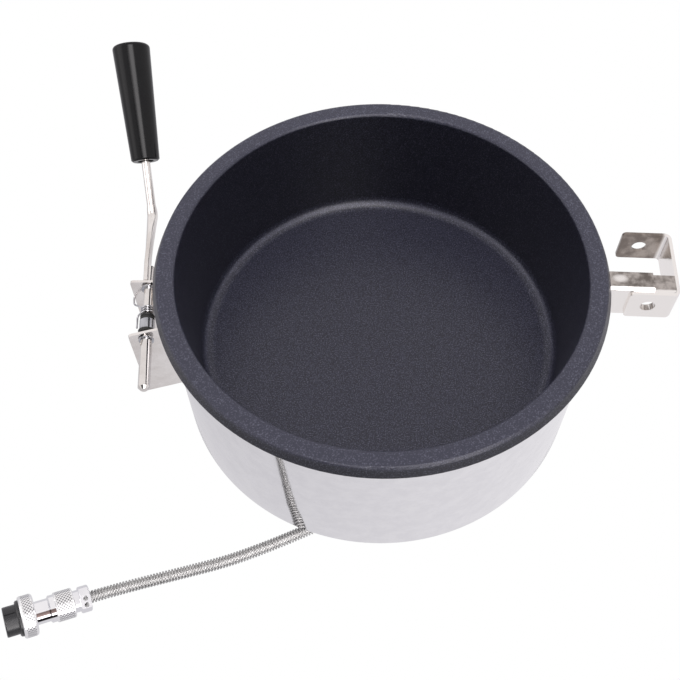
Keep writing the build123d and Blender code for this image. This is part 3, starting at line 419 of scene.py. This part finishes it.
# stripe_toward is the way from the connector to the scene's camera and stripe_across was
# worked out from it, so the barrel's painted bands are right for that one view only
stripe_across = Vector((0.326, -0.873, -0.358)).normalized()
stripe_toward = Vector((0.313, -0.258, 0.914))
brown_stripe = (0.0001, 0.0026)
black_stripe = (0.0033, 0.0049)
plug_origin = Vector((-0.1909, -0.1731, plug_height))

looks = {
    "nonstick_coating": nonstick,
    "polished_steel": mirror,
    "plain_steel": metal(colour(0.6, 0.6, 0.61), colour(0.48, 0.48, 0.5), 0.24),
    "nickel_plate": metal(warm_light, warm_dark, 0.13, 40.0, 0.0001),
    "polished_shaft": metal(colour(0.86, 0.83, 0.8), colour(0.74, 0.71, 0.68), 0.06, 90.0, 0.00001),
    "zinc_plate": metal(colour(0.62, 0.63, 0.66), colour(0.42, 0.43, 0.46), 0.2, 220.0),
    "brass_plate": metal(colour(0.76, 0.6, 0.3), colour(0.6, 0.44, 0.2), 0.22),
    "heater_sheath": metal(colour(0.3, 0.27, 0.25), colour(0.14, 0.12, 0.12), 0.36),
    "mineral_fibre": moulded(colour(0.6, 0.57, 0.48), colour(0.8, 0.78, 0.7), 0.85, 900.0, 0.0003),
    "ceramic": moulded(colour(0.72, 0.7, 0.64), colour(0.84, 0.83, 0.78), 0.35, 1500.0, 0.00003),
    "white_plastic": moulded(
        colour(0.74, 0.74, 0.7), colour(0.82, 0.82, 0.79), 0.4, 1800.0, 0.00004
    ),
    "wire_jacket": moulded(colour(0.55, 0.55, 0.52), colour(0.8, 0.8, 0.78), 0.7, 4200.0, 0.00008),
    "black_rubber": moulded(
        colour(0.008, 0.008, 0.008), colour(0.02, 0.02, 0.02), 0.5, 2500.0, 0.00003
    ),
    "spring_wire": metal(colour(0.68, 0.68, 0.7), colour(0.4, 0.4, 0.42), 0.16, 400.0),
    "black_phenolic": moulded(
        colour(0.003, 0.003, 0.004), colour(0.007, 0.007, 0.008), 0.1, 1200.0, 0.000004, 0.25
    ),
    "metal_braid": cable_metal,
    "chrome_plate": metal(
        colour(0.95, 0.95, 0.97), colour(0.88, 0.88, 0.91), 0.05, 150.0, 0.00001, 0.03
    ),
}
materials = {slot: material(slot, build) for slot, build in looks.items()}
own_looks = {
    "hanger_arm": hanger_plate,
    "hanger_yoke": hanger_strip,
    "coupling_ring": knurled(
        plug_origin, plug_axis, plug_side, plug_up, ring_radius, *ring_knurl
    ),
    "rear_sleeve": knurled(
        plug_origin, plug_axis, plug_side, plug_up, sleeve_radius, *sleeve_knurl
    ),
    "plug_barrel": striped(
        plug_origin, stripe_across, stripe_toward, *brown_stripe, *black_stripe
    ),
    "plug_insert": moulded(
        colour(0.009, 0.009, 0.011), colour(0.018, 0.018, 0.021), 0.2, 1200.0, 0.000004, 0.6
    ),
    "clamp_screws": metal(colour(0.3, 0.3, 0.3), colour(0.03, 0.03, 0.03), 0.2, 700.0),
}
for row in frame["record"]["subparts"]:
    node = nodes[row["node"]]
    if row["node"] in own_looks:
        look = material(row["node"] + "_look", own_looks[row["node"]])
    else:
        look = materials[row["material_slot"]]
    node.data.materials.clear()
    node.data.materials.append(look)


# ---- new pieces --------------------------------------------------------------------

def shown_mesh(name, mesh, body, look):
    made = bpy.data.objects.new(name, mesh)
    bpy.context.scene.collection.objects.link(made)
    made.data.materials.clear()
    made.data.materials.append(look)
    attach(made, body)
    return made


def turned(name, profile, steps=256):
    """A mesh turned round the pot's axis from a closed profile of radius and height."""
    shape = bmesh.new()
    corners = [shape.verts.new((radius, 0, height)) for radius, height in profile]
    edges = [
        shape.edges.new((first, last)) for first, last in zip(corners, corners[1:] + corners[:1])
    ]
    bmesh.ops.spin(
        shape,
        geom=corners + edges,
        cent=(0, 0, 0),
        axis=(0, 0, 1),
        angle=2 * math.pi,
        steps=steps,
        use_merge=True,
    )
    bmesh.ops.remove_doubles(shape, verts=shape.verts, dist=1e-7)
    bmesh.ops.recalc_face_normals(shape, faces=shape.faces)
    for face in shape.faces:
        face.smooth = True
    mesh = bpy.data.meshes.new(name)
    shape.to_mesh(mesh)
    shape.free()
    return mesh


# the polished shell, closer faceted than the frame's, since it mirrors its surroundings
wall_out = 0.117
wall_in = 0.1162
shell_foot = 0.010
shell_seat = 0.0108
shell_top = 0.1115
flange_inner = 0.107
bend = 0.0018
bend_steps = 6
wall_rings = (0.04, 0.075)  # heights that divide the wall's faces
crease_angle = 40
shell_profile = [(flange_inner, shell_foot), (wall_out - bend, shell_foot)]
for step in range(1, bend_steps + 1):
    turn = math.radians(90 / bend_steps * step)
    shell_profile.append((
        wall_out - bend + bend * math.sin(turn), shell_foot + bend - bend * math.cos(turn)
    ))
shell_profile += [(wall_out, level) for level in (*wall_rings, shell_top)]
inner_bend = 0.001
shell_profile += [(wall_in, shell_top), (wall_in, shell_seat + inner_bend)]
shell_profile += [(wall_in - inner_bend, shell_seat), (flange_inner, shell_seat)]
shell = shown_mesh(
    "polished_shell", turned("polished_shell", shell_profile), "kettle",
    materials["polished_steel"],
)
crease = shell.modifiers.new("edges", "EDGE_SPLIT")
crease.split_angle = math.radians(crease_angle)
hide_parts("outer_shell")

# the cable: a wound wire over a dark core, along one smooth line
cable_radius = 0.0035
cable_points = [
    (-0.013024, -0.073861, 0.0049),
    (-0.015194, -0.086171, 0.0049),
    (-0.0207, -0.0965, 0.0043),
    (-0.0297, -0.1048, 0.00355),
    (-0.0407, -0.1105, 0.0035),
    (-0.0531, -0.1168, 0.0035),
    (-0.0778, -0.1282, 0.0035),
    (-0.1029, -0.1363, 0.0035),
]
cable_rear = plug_origin + plug_axis * plug_length
lowering = (cable_rear.z - cable_radius) / math.sin(plug_tilt)
cable_points.append(tuple(cable_rear + plug_axis * lowering))
cable_points.append(tuple(cable_rear))


def line_of(name, points, kind="NURBS", depth=0.0, rounds=3):
    """A curve object along points."""
    curve = bpy.data.curves.new(name, "CURVE")
    curve.dimensions = "3D"
    curve.resolution_u = 24
    curve.bevel_depth = depth
    curve.bevel_resolution = rounds
    curve.use_fill_caps = True
    spline = curve.splines.new(kind)
    spline.points.add(len(points) - 1)
    for point, target in zip(spline.points, points):
        point.co = (*target, 1.0)
    if kind == "NURBS":
        spline.order_u = 3
        spline.use_endpoint_u = True
    made = bpy.data.objects.new(name, curve)
    bpy.context.scene.collection.objects.link(made)
    return made


def baked(made):
    """The mesh that a curve object shows; the object itself is removed."""
    bpy.context.view_layer.update()
    mesh = bpy.data.meshes.new_from_object(
        made.evaluated_get(bpy.context.evaluated_depsgraph_get())
    )
    bpy.data.objects.remove(made)
    return mesh


def spaced(points, step):
    """Points at even steps along a line of points, with the line's direction at each."""
    spots = []
    left = 0.0
    for start, end in zip(points, points[1:]):
        run = end - start
        length = run.length
        if length < 1e-9:
            continue
        travelled = left
        while travelled <= length:
            spots.append((start + run * (travelled / length), run / length))
            travelled += step
        left = travelled - length
    return spots


route = [Vector(vertex.co) for vertex in baked(line_of("route", cable_points)).vertices]
wire_pitch = 0.0017
wire_radius = 0.00056
wind_radius = cable_radius - wire_radius
core_radius = 0.0024
steps_per_turn = 14
spots = spaced(route, wire_pitch / steps_per_turn)
across = spots[0][1].orthogonal().normalized()
winding = []
for index, (spot, direction) in enumerate(spots):
    across = (across - direction * across.dot(direction)).normalized()
    turn = 2 * math.pi * index / steps_per_turn
    out = Matrix.Rotation(turn, 3, direction) @ across
    winding.append(spot + out * wind_radius)
winding_mesh = baked(line_of("winding", winding, "POLY", wire_radius, 2))
core_mesh = baked(line_of("core", cable_points, "NURBS", core_radius, 4))
cable_shape = bmesh.new()
cable_shape.from_mesh(winding_mesh)
wound_faces = len(cable_shape.faces)
cable_shape.from_mesh(core_mesh)
cable_shape.faces.ensure_lookup_table()
for index, face in enumerate(cable_shape.faces):
    face.smooth = True
    face.material_index = 0 if index < wound_faces else 1
cable_mesh = bpy.data.meshes.new("wound_cable")
cable_shape.to_mesh(cable_mesh)
cable_shape.free()
cable = shown_mesh("wound_cable", cable_mesh, "kettle", materials["metal_braid"])
cable.data.materials.append(material("cable_core", dark_core))
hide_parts("braided_cable")


# ---- surroundings ------------------------------------------------------------------

# metres from the middle over which the mirrored grey changes, to the side and in front
grey_side = (-0.2, 0.14)
dark_front = (-1.1, -0.7)


def white_floor():
    """White to the eye, pale grey in reflections, and a plain pale surface to other light.

    The eye sees no shadow on it. The grey in reflections is painted shade: it is darker to the left
    and goes dark far in front.
    """
    made = bpy.data.materials.new("white_floor")
    made.use_nodes = True
    tree = made.node_tree
    tree.nodes.clear()
    shade = Shade(tree)
    eye = shade.node("ShaderNodeLightPath", output=0)
    glint = shade.node("ShaderNodeLightPath", output=3)
    plain = shade.node("ShaderNodeBsdfDiffuse", None, {"Color": colour(0.8, 0.8, 0.8)})
    side = shade.from_origin(ALONG_ARM).clamped(*grey_side)
    near = shade.from_origin(REARWARD).clamped(*dark_front)
    pale = side.between(colour(0.66, 0.648, 0.675), colour(0.83, 0.815, 0.84))
    mirrored = near.between(colour(0.03, 0.025, 0.02), pale)
    tone = eye.between(mirrored, colour(1, 1, 1))
    bright = shade.node("ShaderNodeEmission", None, {"Color": tone, "Strength": 1.0})
    seen = shade.node(
        "ShaderNodeMixShader", None, {0: shade.math("MAXIMUM", eye, glint), 1: plain, 2: bright}
    )
    seen.node("ShaderNodeOutputMaterial", None, {"Surface": seen})
    return made


floor_size = 3.0
floor_drop = 0.0002
floor_shape = bmesh.new()
bmesh.ops.create_grid(floor_shape, x_segments=1, y_segments=1, size=floor_size)
bmesh.ops.translate(floor_shape, verts=floor_shape.verts, vec=(0, 0, -floor_drop))
floor_mesh = bpy.data.meshes.new("floor")
floor_shape.to_mesh(floor_mesh)
floor_shape.free()
floor = bpy.data.objects.new("floor", floor_mesh)
bpy.context.scene.collection.objects.link(floor)
floor.data.materials.append(white_floor())

scene = bpy.context.scene
world = bpy.data.worlds.new("studio")
scene.world = world
world.use_nodes = True
world.node_tree.nodes.clear()
sky = Shade(world.node_tree)


def glow(direction, edge, core):
    """A soft patch of the sky round a direction: 1 in its core, 0 past its edge, in degrees."""
    toward = Vector(direction).normalized()
    facing = sky.node(
        "ShaderNodeVectorMath",
        {"operation": "DOT_PRODUCT"},
        {0: sky.node("ShaderNodeTexCoord", output=0), 1: toward},
        output=1,
    )
    return facing.clamped(math.cos(math.radians(edge)), math.cos(math.radians(core)))


# what metal and gloss mirror: an even dome, a narrow upright strip, a patch and a dark front
upright = glow((0.93, 0.37, 0.0), 108, 97) * glow((-0.93, -0.37, 0.0), 108, 97)
strip = upright * glow((0.25, -0.7, 0.65), 45, 30)
patch = glow((-0.9, -0.1, 0.45), 24, 10)
dark = glow((0.0, -0.87, 0.5), 38, 22)
dome = (0.088 * (1 - 0.9 * dark) + 0.5 * strip + 0.08 * patch).between(
    colour(0, 0, 0), colour(10.2, 9.9, 10.0)
)
eye = sky.node("ShaderNodeLightPath", output=0)
glint = sky.node("ShaderNodeLightPath", output=3)
seen = eye.between(glint.between(colour(0.16, 0.16, 0.16), dome), colour(1, 1, 1))
light = sky.node("ShaderNodeBackground", None, {"Color": seen, "Strength": 1.0})
light.node("ShaderNodeOutputWorld", None, {"Surface": light})


def soft_light(name, place, target, width, depth, power):
    lamp = bpy.data.lights.new(name, "AREA")
    lamp.shape = "RECTANGLE"
    lamp.size = width
    lamp.size_y = depth
    lamp.energy = power
    made = bpy.data.objects.new(name, lamp)
    made.location = place
    made.visible_glossy = False
    made.rotation_mode = "QUATERNION"
    made.rotation_quaternion = (Vector(target) - Vector(place)).to_track_quat("-Z", "Y")
    bpy.context.scene.collection.objects.link(made)


soft_light("top", (0.0, 0.1, 1.5), (0, 0, 0.08), width=0.5, depth=0.5, power=18.0)

camera_place = (0.0, -0.30534, 0.51618)
camera_look = (-0.04002278, 0.53698342, -0.84264286)
camera_side = (0.99842427, 0.05468971, -0.01257027)

camera = bpy.data.cameras.new("camera")
camera.lens = 50.0
camera.sensor_width = 36.0
camera.clip_start = 0.01
camera.clip_end = 20.0
eye_point = bpy.data.objects.new("camera", camera)
bpy.context.scene.collection.objects.link(eye_point)
look = Vector(camera_look).normalized()
sideways = Vector(camera_side).normalized()
upward = sideways.cross(look)
turn_matrix = Matrix((sideways, upward, -look)).transposed()
eye_point.rotation_mode = "QUATERNION"
eye_point.rotation_quaternion = turn_matrix.to_quaternion()
eye_point.location = camera_place
scene.camera = eye_point
scene.view_settings.view_transform = "Standard"
scene.view_settings.look = "None"
